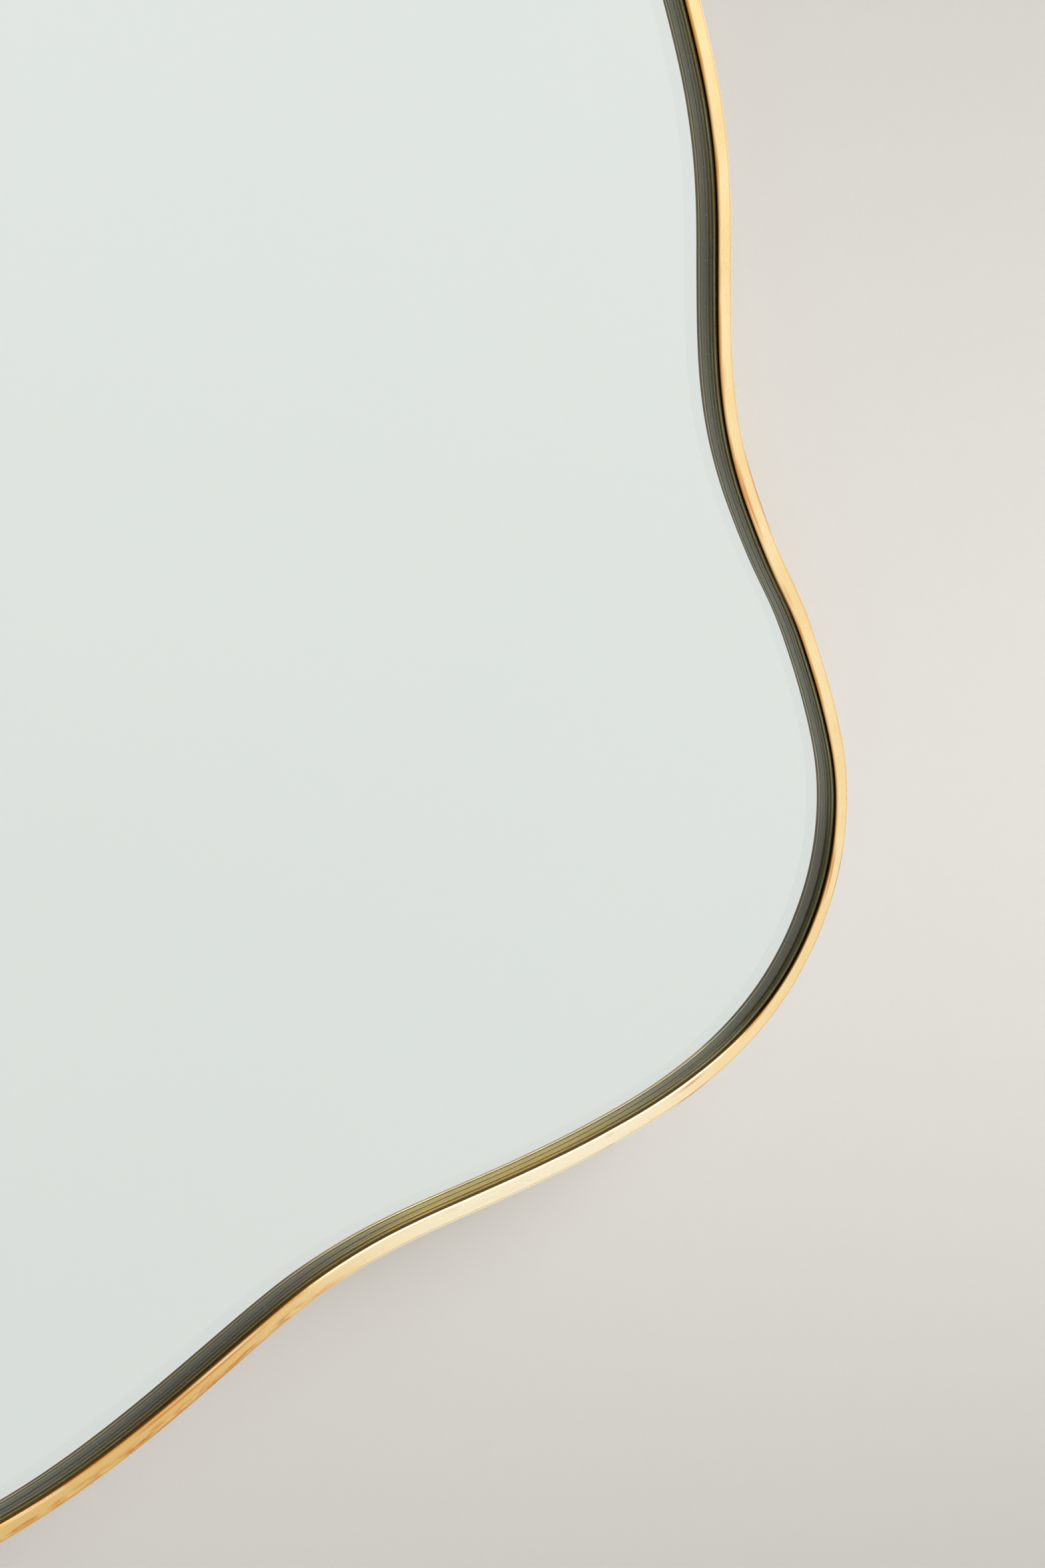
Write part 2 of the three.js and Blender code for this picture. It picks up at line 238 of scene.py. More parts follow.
def facing_out(piece):
    """The piece, its closed and consistent mesh flipped if its faces look inwards."""
    mesh = piece.data
    mesh.calc_loop_triangles()
    corners = np.array([t.vertices[:] for t in mesh.loop_triangles])
    places = np.array([v.co[:] for v in mesh.vertices])
    a, b, c = (places[corners[:, k]] for k in range(3))
    if (a * np.cross(b, c)).sum() < 0:
        mesh.flip_normals()
    return piece


def arc(centre, radius, start, end, steps):
    """Points of an arc in the section plane, angles in degrees."""
    angles = np.radians(np.linspace(start, end, steps))
    return [(centre[0] + radius * math.cos(a), centre[1] + radius * math.sin(a)) for a in angles]


def flat(start, end, steps):
    """Points between two ends, closer together near them so that flat faces shade flat."""
    spread = 0.5 - 0.5 * np.cos(np.linspace(0, np.pi, steps + 2)[1:-1])
    return [tuple(np.array(start) + (np.array(end) - np.array(start)) * s) for s in spread]


def loop_faces(stations_count, section_count, closed=True):
    """Quads of a section swept round the closed line, with the station and side of each."""
    columns = section_count if closed else section_count - 1
    i = np.repeat(np.arange(stations_count), columns)
    j = np.tile(np.arange(columns), stations_count)
    after = (i + 1) % stations_count
    beside = (j + 1) % section_count
    quads = np.stack([
        i * section_count + j,
        after * section_count + j,
        after * section_count + beside,
        i * section_count + beside,
    ], 1)
    return quads, i, j


def sweep_vertices(section, wobble=None):
    """Vertices of a section of (outward, depth) points swept round the line."""
    out, depth = np.array(section, float).T
    outs = np.broadcast_to(out, (len(LINE), len(out)))
    depths = np.broadcast_to(depth, (len(LINE), len(depth)))
    if wobble is not None:
        outs = wobble(outs, depths)
    x = LINE[:, :1] + NORMALS[:, :1] * outs
    z = LINE[:, 1:] + NORMALS[:, 1:] * outs
    return np.stack([x, depths, z], 2).reshape(-1, 3)


def sweep_uv(section, i, j):
    """Run along the line and across the section, in metres, for each corner of each quad."""
    points = np.array(section + section[:1], float)
    across = np.r_[0, np.cumsum(np.linalg.norm(np.diff(points, axis=0), axis=1))]
    run = np.r_[RUN, LENGTH]
    u = np.stack([run[i], run[i + 1], run[i + 1], run[i]], 1)
    v = np.stack([across[j], across[j], across[j + 1], across[j + 1]], 1)
    return np.stack([u, v], 2) * MM


def waves(seed, wavelengths, size):
    """Smooth seeded unevenness along the closed line, in millimetres."""
    rng = np.random.default_rng(seed)
    total = np.zeros(len(RUN))
    for wavelength in wavelengths:
        turns = max(1, round(LENGTH / wavelength))
        total += np.sin(2 * np.pi * turns * RUN / LENGTH + rng.uniform(0, 2 * np.pi))
    return total * size / len(wavelengths)


# ---------------------------------------------------------------- materials

def linear(red, green, blue):
    """Scene-linear colour of an sRGB colour given from 0 to 255."""
    def channel(value):
        share = value / 255
        return share / 12.92 if share <= 0.04045 else ((share + 0.055) / 1.055) ** 2.4
    return (channel(red), channel(green), channel(blue), 1)


def add_node(tree, kind, inputs=(), output=0, **settings):
    """One output of a new node, whose inputs are set or linked."""
    made = tree.nodes.new(kind)
    for key, value in settings.items():
        setattr(made, key, value)
    for key, value in dict(inputs).items():
        if isinstance(value, bpy.types.NodeSocket):
            tree.links.new(value, made.inputs[key])
        else:
            made.inputs[key].default_value = value
    return made.outputs[output]


def add_mix(tree, factor, a, b):
    """Colour a mixed with colour b, by number of socket, because their names repeat."""
    return add_node(tree, "ShaderNodeMix", {0: factor, 6: a, 7: b}, output=2, data_type="RGBA")


class Recipe:
    """One node material, with short names for the nodes it is made of."""

    def __init__(self, name, **values):
        self.material = bpy.data.materials.new(name)
        self.material.use_nodes = True
        self.tree = self.material.node_tree
        self.shader = self.tree.nodes["Principled BSDF"]
        for key, value in values.items():
            self.shader.inputs[key.replace("_", " ")].default_value = value

    def node(self, kind, inputs=(), output=0, **settings):
        return add_node(self.tree, kind, inputs, output, **settings)

    def place(self, scale=(1, 1, 1), turn=(0, 0, 0)):
        """Place on the object in the row frame, in metres."""
        where = self.node("ShaderNodeTexCoord", output="Object")
        return self.node("ShaderNodeMapping", {"Vector": where, "Scale": scale, "Rotation": turn})

    def run(self, along, across, turn=0):
        """Run along the strip and across its section, in metres, each scaled."""
        where = self.node("ShaderNodeUVMap", uv_map="run")
        return self.node("ShaderNodeMapping",
                         {"Vector": where, "Scale": (along, across, 1), "Rotation": (0, 0, turn)})

    def near(self, place, extent):
        """1 at a place along the line, fading to 0 at an extent in metres."""
        run = self.axis(self.run(1, 1), "X")
        away = self.math("ABSOLUTE", self.math("SUBTRACT", run, run_at(place) * MM))
        return self.ramp(away, extent, extent * 0.2)

    def axis(self, vector, name):
        return self.node("ShaderNodeSeparateXYZ", {"Vector": vector}, output=name)

    def noise(self, vector, scale, detail=2, rough=0.5):
        return self.node("ShaderNodeTexNoise",
                         {"Vector": vector, "Scale": scale, "Detail": detail, "Roughness": rough})

    def specks(self, vector, scale, size):
        """Small round spots at random, 1 inside and 0 outside."""
        apart = self.node("ShaderNodeTexVoronoi", {"Vector": vector, "Scale": scale})
        return self.ramp(apart, size, size * 0.6)

    def ramp(self, value, low, high, start=0.0, end=1.0):
        return self.node("ShaderNodeMapRange", {
            "Value": value, "From Min": low, "From Max": high, "To Min": start, "To Max": end,
        }, interpolation_type="SMOOTHSTEP")

    def math(self, operation, a, b=0.0):
        return self.node("ShaderNodeMath", {0: a, 1: b}, operation=operation)

    def product(self, a, b):
        return self.math("MULTIPLY", a, b)

    def mix(self, factor, a, b):
        return add_mix(self.tree, factor, a, b)

    def stain(self, share, strength, base, color):
        """The base with a colour laid over part of it."""
        return self.mix(self.product(share, strength), base, color)

    def bump(self, height, distance, strength=1.0, after=None):
        inputs = {"Height": height, "Distance": distance, "Strength": strength}
        if after is not None:
            inputs["Normal"] = after
        return self.node("ShaderNodeBump", inputs)

    def finish(self, color=None, rough=None, normal=None):
        for key, value in (("Base Color", color), ("Roughness", rough), ("Normal", normal)):
            if value is not None:
                self.tree.links.new(value, self.shader.inputs[key])
        return self.material


def bottom_run(r, where):
    """Share of the run along the bottom, whatever the place across."""
    return r.ramp(r.axis(where, "Z"), *BOTTOM_Z)


def bottom_stretch(r, where, stretch):
    """Share of the run along the bottom, between two places across, fading at both ends."""
    right, left = stretch
    x = r.axis(where, "X")
    fade_left = (left + shift for shift in BOTTOM_FADE_LEFT)
    share = r.product(r.ramp(x, right, right - BOTTOM_FADE_RIGHT), r.ramp(x, *fade_left))
    return r.product(share, bottom_run(r, where))


def polished_brass():
    """Strip's front face: marks of polishing across it, scratches and tarnish, with a painted
    highlight along the bottom and painted shade towards the lower left.
    """
    r = Recipe("brass_polished", Metallic=1.0)
    where = r.place()
    clouds = r.noise(where, 45, 3)
    gold = r.mix(r.ramp(clouds, 0.35, 0.65), linear(250, 220, 160), linear(254, 228, 176))
    # painted highlight: paler along the bottom
    pale = bottom_stretch(r, where, FACE_HIGHLIGHT_STRETCH)
    gold = r.mix(pale, gold, r.mix(clouds, linear(255, 247, 216), linear(255, 240, 204)))
    # painted shade: darker towards the lower left
    dull = r.product(r.ramp(r.axis(where, "Z"), *FACE_SHADE_Z), r.ramp(r.axis(where, "X"), *FACE_SHADE_X))
    gold = r.mix(dull, gold, linear(232, 194, 124))
    across = r.axis(r.run(1, 1), "Y")
    # orange tarnish on the outer half
    outer = r.ramp(across, *OUTER_HALF)
    blotches = r.noise(r.run(130, 900), 1, 4, 0.65)
    spots = r.product(r.ramp(blotches, 0.4, 0.68), outer)
    spots = r.product(spots, r.ramp(dull, 0.0, 0.7, 0.06, 0.95))
    gold = r.mix(spots, gold, linear(205, 128, 62))
    # orange tarnish creeping in from the inner arris in places
    creep = r.ramp(r.noise(where, 38, 2), 0.56, 0.68)
    for place, extent in STAINS:
        creep = r.math("MAXIMUM", creep, r.near(place, extent))
    reach = r.ramp(across, *STAIN_REACH)
    gold = r.stain(r.product(creep, reach), 0.95, gold, linear(218, 136, 60))
    # faint stains across the middle
    faint = r.ramp(r.noise(r.run(420, 900), 1, 3, 0.6), 0.6, 0.72)
    gold = r.stain(faint, 0.3, gold, linear(226, 168, 96))
    # a browner edge along the outer arris
    gold = r.stain(r.ramp(across, *OUTER_EDGE), 0.35, gold, linear(176, 124, 60))
    marks = r.noise(r.run(5200, 220), 1, 3, 0.7)
    scratch = r.ramp(r.noise(r.run(900, 5200, 0.5), 1, 1), 0.69, 0.74)
    gold = r.stain(r.ramp(marks, 0.3, 0.7), 0.05, gold, linear(214, 168, 92))
    rough = r.ramp(marks, 0.25, 0.75, 0.22, 0.31)
    rough = r.math("ADD", rough, r.product(spots, 0.2))
    normal = r.bump(marks, 0.00002, 0.3)
    normal = r.bump(scratch, -0.00005, 0.6, normal)
    return r.finish(gold, rough, normal)


def sunk_brass(r, where, olive, brown, golden, amber, shade):
    """Colour of drawn brass down in the shade of the strip, with a painted golden highlight along
    the bottom and painted shade along its lower left.

    Also gives its clouds, drawing lines and dust, for the material to use again.
    """
    clouds = r.noise(where, 60, 4, 0.6)
    olive = r.mix(r.ramp(clouds, 0.35, 0.7), olive, brown)
    # painted highlight: golden along the bottom
    golden = r.mix(clouds, golden, amber)
    base = r.mix(bottom_stretch(r, where, GOLDEN_HIGHLIGHT_STRETCH), olive, golden)
    # painted shade along the lower left of the bottom run
    low = r.product(bottom_run(r, where), r.ramp(r.axis(where, "X"), *SHADED_X))
    base = r.stain(low, 0.85, base, shade)
    # painted shade: dark streaks along the lower left, at the back of the mirror and just under the
    # arris
    depth = r.axis(where, "Y")
    shade_streak = r.math("MAXIMUM", *(r.ramp(depth, *ends) for ends in SHADE_STREAKS_Y))
    base = r.stain(r.product(shade_streak, low), 0.75, base, linear(78, 74, 54))
    lines = r.noise(r.place((22, 1500, 22)), 1, 3, 0.6)
    base = r.stain(r.ramp(lines, 0.42, 0.62), 0.2, base, linear(96, 86, 58))
    grime = r.ramp(r.noise(where, 1700, 2), 0.6, 0.7)
    base = r.stain(grime, 0.4, base, linear(74, 62, 36))
    dust = r.specks(where, 560, 0.1)
    base = r.stain(dust, 0.85, base, linear(246, 242, 228))
    return base, clouds, lines, dust


def wall_brass():
    """Strip's inner wall: drawn brass, left duller than the face, with dust on it."""
    r = Recipe("brass_inner", Metallic=0.65)
    where = r.place()
    base, clouds, lines, dust = sunk_brass(
        r, where, linear(192, 188, 150), linear(196, 184, 138),
        linear(222, 204, 142), linear(206, 184, 112), linear(150, 130, 82))
    rough = r.math("ADD", r.ramp(clouds, 0.3, 0.7, 0.36, 0.48), r.product(dust, 0.3))
    normal = r.bump(r.noise(r.run(42, 160), 1, 2), 0.0006, 0.35)
    normal = r.bump(lines, 0.00003, 0.4, normal)
    return r.finish(base, rough, normal)


def outer_brass():
    """Strip's outer wall and back: satin, with lengthwise drawing lines and patchy tarnish."""
    r = Recipe("brass_satin", Metallic=1.0)
    where = r.place()
    clouds = r.noise(where, 28, 4, 0.6)
    gold = r.mix(r.ramp(clouds, 0.35, 0.7), linear(226, 196, 138), linear(200, 160, 96))
    lines = r.noise(r.run(45, 3200), 1, 3, 0.6)
    gold = r.stain(r.ramp(lines, 0.3, 0.7), 0.3, gold, linear(178, 142, 84))
    spots = r.ramp(r.noise(where, 150, 4, 0.6), 0.6, 0.75)
    gold = r.stain(spots, 0.55, gold, linear(156, 104, 56))
    rough = r.ramp(lines, 0.3, 0.7, 0.27, 0.42)
    rough = r.math("ADD", rough, r.product(spots, 0.18))
    return r.finish(gold, rough, r.bump(lines, 0.00005, 0.5))


def arris_brass():
    """Rounded inner arris: rubbed bright, with a painted highlight along the bottom and painted
    shade, warm brown, on its steep part.
    """
    r = Recipe("brass_arris", Metallic=1.0)
    where = r.place()
    dirt = r.ramp(r.noise(where, 35, 3), 0.42, 0.62)
    gold = r.mix(dirt, linear(249, 222, 166), linear(232, 182, 108))
    across = r.axis(r.run(1, 1), "Y")
    # painted shade: warmer and darker as the arris turns towards the wall
    gold = r.mix(r.ramp(across, *ARRIS_WARM_SHADE), gold, linear(176, 110, 44))
    # painted highlight: palest along the bottom
    bottom = bottom_stretch(r, where, ARRIS_HIGHLIGHT_STRETCH)
    gold = r.mix(bottom, gold, linear(250, 236, 198))
    # painted shade: brown on its steep part, which begins sooner along the bottom
    steep = r.math("ADD", across, r.product(bottom, STEEP_SHIFT))
    gold = r.mix(r.ramp(steep, *ARRIS_STEEP_SHADE), gold, linear(88, 64, 30))
    nicks = r.noise(r.run(1300, 900), 1, 3, 0.7)
    rough = r.ramp(nicks, 0.3, 0.7, 0.12, 0.26)
    return r.finish(gold, rough, r.bump(nicks, 0.00003, 0.4))


def tab_brass():
    """Fixing tabs: sheet brass with shear marks and heat tint from brazing."""
    r = Recipe("brass_tab", Metallic=1.0)
    where = r.place()
    clouds = r.noise(where, 90, 4, 0.6)
    gold = r.mix(r.ramp(clouds, 0.35, 0.7), linear(222, 190, 128), linear(192, 146, 84))
    tint = r.ramp(r.noise(where, 34, 2), 0.52, 0.68)
    gold = r.stain(tint, 0.6, gold, linear(150, 92, 66))
    brush = r.noise(r.place((160, 160, 2600)), 1, 3, 0.6)
    rough = r.ramp(brush, 0.3, 0.7, 0.3, 0.46)
    return r.finish(gold, rough, r.bump(brush, 0.00004, 0.5))


def braze():
    """Fillet of brazing metal: paler, rippled, with dark flux at its edges."""
    r = Recipe("braze_metal", Metallic=1.0)
    where = r.place()
    flux = r.ramp(r.noise(where, 420, 4, 0.6), 0.52, 0.68)
    pale = r.mix(flux, linear(214, 196, 156), linear(98, 78, 52))
    rough = r.ramp(flux, 0, 1, 0.28, 0.6)
    return r.finish(pale, rough, r.bump(r.noise(where, 900, 3), 0.0001, 0.6))


def clear_glass():
    """Face of the glass: clear and slightly green, faintly warm in reflection, a trace of dust."""
    r = Recipe("glass_clear", Transmission_Weight=1.0, IOR=1.5, Roughness=0.0,
               Specular_Tint=(1.0, 0.95, 0.8, 1.0))
    where = r.place()
    film = r.noise(where, 9, 4, 0.6)
    tint = r.mix(film, linear(244, 249, 246), linear(247, 250, 248))
    dust = r.specks(where, 160, 0.03)
    return r.finish(r.stain(dust, 0.3, tint, linear(190, 194, 188)))


def ground_glass():
    """Edge of the glass, painted with the look of the brass behind it as a painted reflection:
    olive, with a painted golden highlight along the bottom.
    """
    r = Recipe("glass_ground_edge", Metallic=0.8)
    where = r.place()
    base, _, lines, dust = sunk_brass(
        r, where, linear(108, 102, 64), linear(112, 102, 58),
        linear(252, 220, 100), linear(230, 192, 72), linear(92, 76, 32))
    # painted light: paler near the face, except along the painted golden highlight at the bottom
    elsewhere = r.math("SUBTRACT", 1.0, bottom_stretch(r, where, GOLDEN_HIGHLIGHT_STRETCH))
    pale = r.product(r.ramp(r.axis(where, "Y"), *LIT_EDGE_Y), elsewhere)
    base = r.stain(pale, 0.8, base, linear(156, 152, 122))
    grit = r.noise(where, 2600, 3, 0.7)
    rough = r.math("ADD", r.ramp(grit, 0.3, 0.7, 0.28, 0.4), r.product(dust, 0.3))
    return r.finish(base, rough, r.bump(lines, 0.00003, 0.4))


def silver():
    """Silvered back of the glass, a little uneven where the coat is thinner."""
    r = Recipe("silver_coat", Metallic=1.0, Roughness=0.0)
    film = r.noise(r.place(), 6, 3)
    return r.finish(r.mix(film, linear(232, 234, 231), linear(234, 236, 233)))


def fibreboard():
    """Raw fibreboard: felted brown fibres, darker flecks, scuffs."""
    r = Recipe("fibreboard_raw", Specular_IOR_Level=0.25)
    where = r.place()
    felt = r.noise(r.place((1, 1, 1.6)), 900, 5, 0.75)
    clouds = r.noise(where, 14, 4, 0.6)
    brown = r.mix(r.ramp(clouds, 0.3, 0.7), linear(176, 142, 102), linear(160, 126, 88))
    brown = r.stain(r.ramp(felt, 0.35, 0.7), 0.6, brown, linear(132, 100, 68))
    flecks = r.ramp(r.noise(where, 1500, 2), 0.66, 0.74)
    brown = r.stain(flecks, 0.7, brown, linear(88, 62, 40))
    scuff = r.ramp(r.noise(r.place((40, 40, 4), (0, 0.6, 0)), 6, 4, 0.6), 0.6, 0.72)
    brown = r.stain(scuff, 0.35, brown, linear(206, 176, 136))
    return r.finish(brown, r.ramp(felt, 0.3, 0.7, 0.72, 0.92), r.bump(felt, 0.0003, 0.6))


def foam():
    """White foam tape with open pores at its cut edges."""
    r = Recipe("foam_white", Specular_IOR_Level=0.2)
    where = r.place()
    pores = r.node("ShaderNodeTexVoronoi", {"Vector": where, "Scale": 2400.0})
    white = r.mix(r.ramp(pores, 0.05, 0.4), linear(170, 166, 156), linear(232, 229, 220))
    grime = r.ramp(r.noise(where, 40, 4), 0.5, 0.75)
    white = r.stain(grime, 0.3, white, linear(196, 184, 160))
    return r.finish(white, r.ramp(pores, 0, 0.5, 0.95, 0.8), r.bump(pores, 0.0002, 0.6))


def zinc():
    """Bright zinc plate: cool grey with faint cloudy spangle, rubs and dull spots."""
    r = Recipe("zinc_plate", Metallic=1.0)
    where = r.place()
    clouds = r.noise(where, 260, 4, 0.6)
    grey = r.mix(r.ramp(clouds, 0.35, 0.68), linear(206, 208, 210), linear(176, 180, 186))
    warm = r.ramp(r.noise(where, 120, 2), 0.52, 0.7)
    grey = r.stain(warm, 0.4, grey, linear(206, 196, 168))
    bloom = r.ramp(r.noise(where, 700, 3), 0.62, 0.72)
    grey = r.stain(bloom, 0.5, grey, linear(226, 226, 222))
    rough = r.ramp(clouds, 0.3, 0.7, 0.24, 0.4)
    rough = r.math("ADD", rough, r.product(bloom, 0.25))
    return r.finish(grey, rough, r.bump(r.noise(where, 3000, 3), 0.00003, 0.5))


def rubber():
    """Matt black rubber with mould grain and grey dust."""
    r = Recipe("rubber_black", Specular_IOR_Level=0.35)
    where = r.place()
    grain = r.noise(where, 2600, 3, 0.6)
    dust = r.ramp(r.noise(where, 180, 4, 0.6), 0.5, 0.72)
    black = r.mix(r.product(dust, 0.4), linear(38, 38, 39), linear(96, 94, 90))
    return r.finish(black, r.ramp(dust, 0, 1, 0.62, 0.85), r.bump(grain, 0.00008, 0.6))


BRASS_FACE = polished_brass()
BRASS_INNER = wall_brass()
BRASS_OUTER = outer_brass()
BRASS_ARRIS = arris_brass()
BRASS_TAB = tab_brass()
BRAZE = braze()
GLASS = clear_glass()
GLASS_EDGE = ground_glass()
SILVER = silver()
BOARD = fibreboard()
FOAM = foam()
ZINC = zinc()
RUBBER = rubber()


# ---------------------------------------------------------------- strip

FACE, INNER, OUTER, ARRIS = range(4)


def strip_section():
    """Section of the strip with rounded arrises, and the material of each of its runs."""
    half = STRIP_WIDTH / 2
    inner_x, outer_x = -half + INNER_ROUND, half - OUTER_ROUND
    inner_y, outer_y = STRIP_FRONT + INNER_ROUND, STRIP_FRONT + OUTER_ROUND
    back_x, back_y = half - BACK_ROUND, STRIP_BACK - BACK_ROUND
    runs = [
        (FACE, flat((outer_x, STRIP_FRONT), (inner_x, STRIP_FRONT), 8)),
        (ARRIS, arc((inner_x, inner_y), INNER_ROUND, 270, 180, 9)),
        (INNER, flat((-half, inner_y), (-half, back_y), 12)),
        (OUTER, arc((-back_x, back_y), BACK_ROUND, 180, 90, 5)),
        (OUTER, flat((-back_x, STRIP_BACK), (back_x, STRIP_BACK), 3)),
        (OUTER, arc((back_x, back_y), BACK_ROUND, 90, 0, 5)),
        (OUTER, flat((half, back_y), (half, outer_y), 8)),
        (FACE, arc((outer_x, outer_y), OUTER_ROUND, 360, 270, 5)),
    ]
    section, kinds = [], []
    for kind, points in runs:
        section += points
        kinds += [kind] * len(points)
    return section, kinds


def strip_wobble(outs, depths):
    """Slight unevenness of bending by hand: the inner side swells near the face."""
    front = np.clip((STRIP_FRONT + SWELL_DEPTH - depths) / SWELL_DEPTH, 0, 1)
    swell = np.abs(waves(3, (47, 83, 131), SWELL))[:, None]
    return np.where(outs < 0, outs + swell * front, outs)


def make_strip():
    """The strip, with a material for its face, inner wall, outer wall and inner arris."""
    section, kinds = strip_section()
    quads, i, j = loop_faces(len(LINE), len(section))
    material_index = np.array(kinds)[j]
    return facing_out(new_piece(
        "brass_strip", sweep_vertices(section, strip_wobble), quads.tolist(),
        [BRASS_FACE, BRASS_INNER, BRASS_OUTER, BRASS_ARRIS],
        sweep_uv(section, i, j), material_index,
    ))


# ---------------------------------------------------------------- glass

def make_glass():
    """Clear slab with a ground and seamed edge, silvered on its back face."""
    edge = -STRIP_WIDTH / 2 - GLASS_CLEARANCE
    section = [
        (edge - GLASS_SEAM, GLASS_FRONT),
        (edge, GLASS_FRONT + GLASS_SEAM),
        (edge, GLASS_BACK - GLASS_SEAM),
        (edge - GLASS_SEAM, GLASS_BACK),
    ]
    count = len(LINE)
    quads, _, _ = loop_faces(count, len(section), closed=False)
    front = np.arange(count) * len(section)
    back = front + len(section) - 1
    faces = quads.tolist() + [front[::-1].tolist(), back.tolist()]
    kinds = [1] * len(quads) + [0, 2]
    smooth = [True] * len(quads) + [False, False]
    piece = new_piece("glass_pane", sweep_vertices(section), faces, [GLASS, GLASS_EDGE, SILVER],
                      material_index=kinds, smooth=smooth)
    piece.data.set_sharp_from_angle(angle=math.radians(30))
    return facing_out(piece)


# ---------------------------------------------------------------- turned and bent pieces

def circle(radius, height, sides):
    """Points of a circle round the Y axis."""
    angles = [2 * math.pi * k / sides for k in range(sides)]
    return [(radius * math.cos(a), height, radius * math.sin(a)) for a in angles]


def lathe(profile, sides):
    """Vertices and faces of a (radius, height) profile turned round +Y, closed on the axis."""
    vertices, rings = [], []
    for radius, height in profile:
        if radius == 0:
            rings.append([len(vertices)])
            vertices.append((0, height, 0))
            continue
        rings.append(list(range(len(vertices), len(vertices) + sides)))
        vertices += circle(radius, height, sides)
    faces = []
    for low, high in zip(rings, rings[1:]):
        for k in range(sides):
            after = (k + 1) % sides
            if len(low) == 1:
                faces.append((low[0], high[k], high[after]))
            elif len(high) == 1:
                faces.append((low[k], high[0], low[after]))
            else:
                faces.append((low[k], high[k], high[after], low[after]))
    return vertices, faces


def tube_faces(rows, sides):
    """Faces of a tube of rows of vertices, closed by a flat face at each end, which come last."""
    faces = []
    for a in range(0, (rows - 1) * sides, sides):
        for k in range(sides):
            after = (k + 1) % sides
            faces.append((a + k, a + after, a + sides + after, a + sides + k))
    last = (rows - 1) * sides
    return faces + [tuple(range(sides))[::-1], tuple(range(last, last + sides))]


def rounded(points, radius, steps=4):
    """A profile with its inner corners rounded."""
    result = [points[0]]
    for before, corner, after in zip(points, points[1:], points[2:]):
        before, corner, after = (np.array(p, float) for p in (before, corner, after))
        start = corner + (before - corner) / np.linalg.norm(before - corner) * radius
        end = corner + (after - corner) / np.linalg.norm(after - corner) * radius
        for step in range(steps + 1):
            s = step / steps
            result.append(tuple((1 - s) ** 2 * start + 2 * s * (1 - s) * corner + s ** 2 * end))
    return result + [points[-1]]


def cross_cutter():
    """Cutter for the head's cross recess, tapering inwards."""
    mouth = (HEAD_HEIGHT + 1, 2.15, 0.52)  # height, half length and half width of one arm
    floor = (HEAD_HEIGHT - 1.3, 0.9, 0.3)
    box = [(0, 1, 2, 3), (7, 6, 5, 4), (0, 4, 5, 1), (1, 5, 6, 2), (2, 6, 7, 3), (3, 7, 4, 0)]
    vertices, faces = [], []
    for turn in (0, math.pi / 2):
        first = len(vertices)
        for height, half_length, half_width in (mouth, floor):
            for sx, sz in ((-1, -1), (1, -1), (1, 1), (-1, 1)):
                a, b = sx * half_length, sz * half_width
                vertices.append((a * math.cos(turn) - b * math.sin(turn), height,
                                 a * math.sin(turn) + b * math.cos(turn)))
        faces += [tuple(first + c for c in face) for face in box]
    return vertices, faces


def screw_head():
    """Head of a pan-head wood screw with its neck, and its underside at Y = 0."""
    neck = SCREW_RADIUS * 0.9
    dome = [(HEAD_RADIUS * math.cos(a), HEAD_RIM + (HEAD_HEIGHT - HEAD_RIM) * math.sin(a))
            for a in np.radians(np.linspace(0, 90, 10)[:-1])]
    profile = [(0, -NECK_LENGTH), (neck, -NECK_LENGTH), (neck, 0), (HEAD_RADIUS - HEAD_EDGE, 0),
               (HEAD_RADIUS, HEAD_EDGE)] + dome + [(0, HEAD_HEIGHT)]
    head = new_piece("screw_head", *lathe(profile, sides=40), [ZINC])
    cutter = new_piece("screw_cutter", *cross_cutter(), [ZINC], smooth=[False] * 12)
    for piece in (head, cutter):
        make_consistent(piece)
    cut = head.modifiers.new("recess", "BOOLEAN")
    cut.object = cutter
    cut.operation = "DIFFERENCE"
    cut.use_self = True
    mesh = applied(head)
    bpy.data.objects.remove(cutter)
    bpy.data.objects.remove(head)
    return mesh


def thread_mesh():
    """Threaded shank from just under the head to the point, as one closed skin."""
    sides, rows = 24, 64
    bottom, blunt = -SCREW_LENGTH, 0.03
    core, crest = SCREW_RADIUS * 0.7, SCREW_RADIUS * 0.28
    vertices, faces = [(0, THREAD_TOP, 0)], []
    for row in range(rows + 1):
        height = THREAD_TOP + (bottom - THREAD_TOP) * row / rows
        taper = min(1.0, (height - bottom) / SCREW_POINT * (1 - blunt) + blunt)
        for k in range(sides):
            phase = (height / THREAD_PITCH + k / sides) % 1.0
            ridge = 1 - abs(2 * phase - 1)
            radius = taper * (core + crest * ridge ** 2)
            angle = 2 * math.pi * k / sides
            vertices.append((radius * math.cos(angle), height, radius * math.sin(angle)))
    vertices.append((0, bottom, 0))
    last = len(vertices) - 1
    for k in range(sides):
        after = (k + 1) % sides
        faces.append((0, 1 + k, 1 + after))
        for row in range(rows):
            a = 1 + row * sides
            b = a + sides
            faces.append((a + k, b + k, b + after, a + after))
        faces.append((1 + rows * sides + k, last, 1 + rows * sides + after))
    return vertices, faces


def make_consistent(piece):
    """Turns every face of a closed mesh outwards."""
    work = bmesh.new()
    work.from_mesh(piece.data)
    bmesh.ops.recalc_face_normals(work, faces=work.faces)
    work.to_mesh(piece.data)
    work.free()


def applied(piece):
    """The piece's mesh with its modifiers applied."""
    bpy.context.view_layer.update()
    graph = bpy.context.evaluated_depsgraph_get()
    return bpy.data.meshes.new_from_object(piece.evaluated_get(graph))


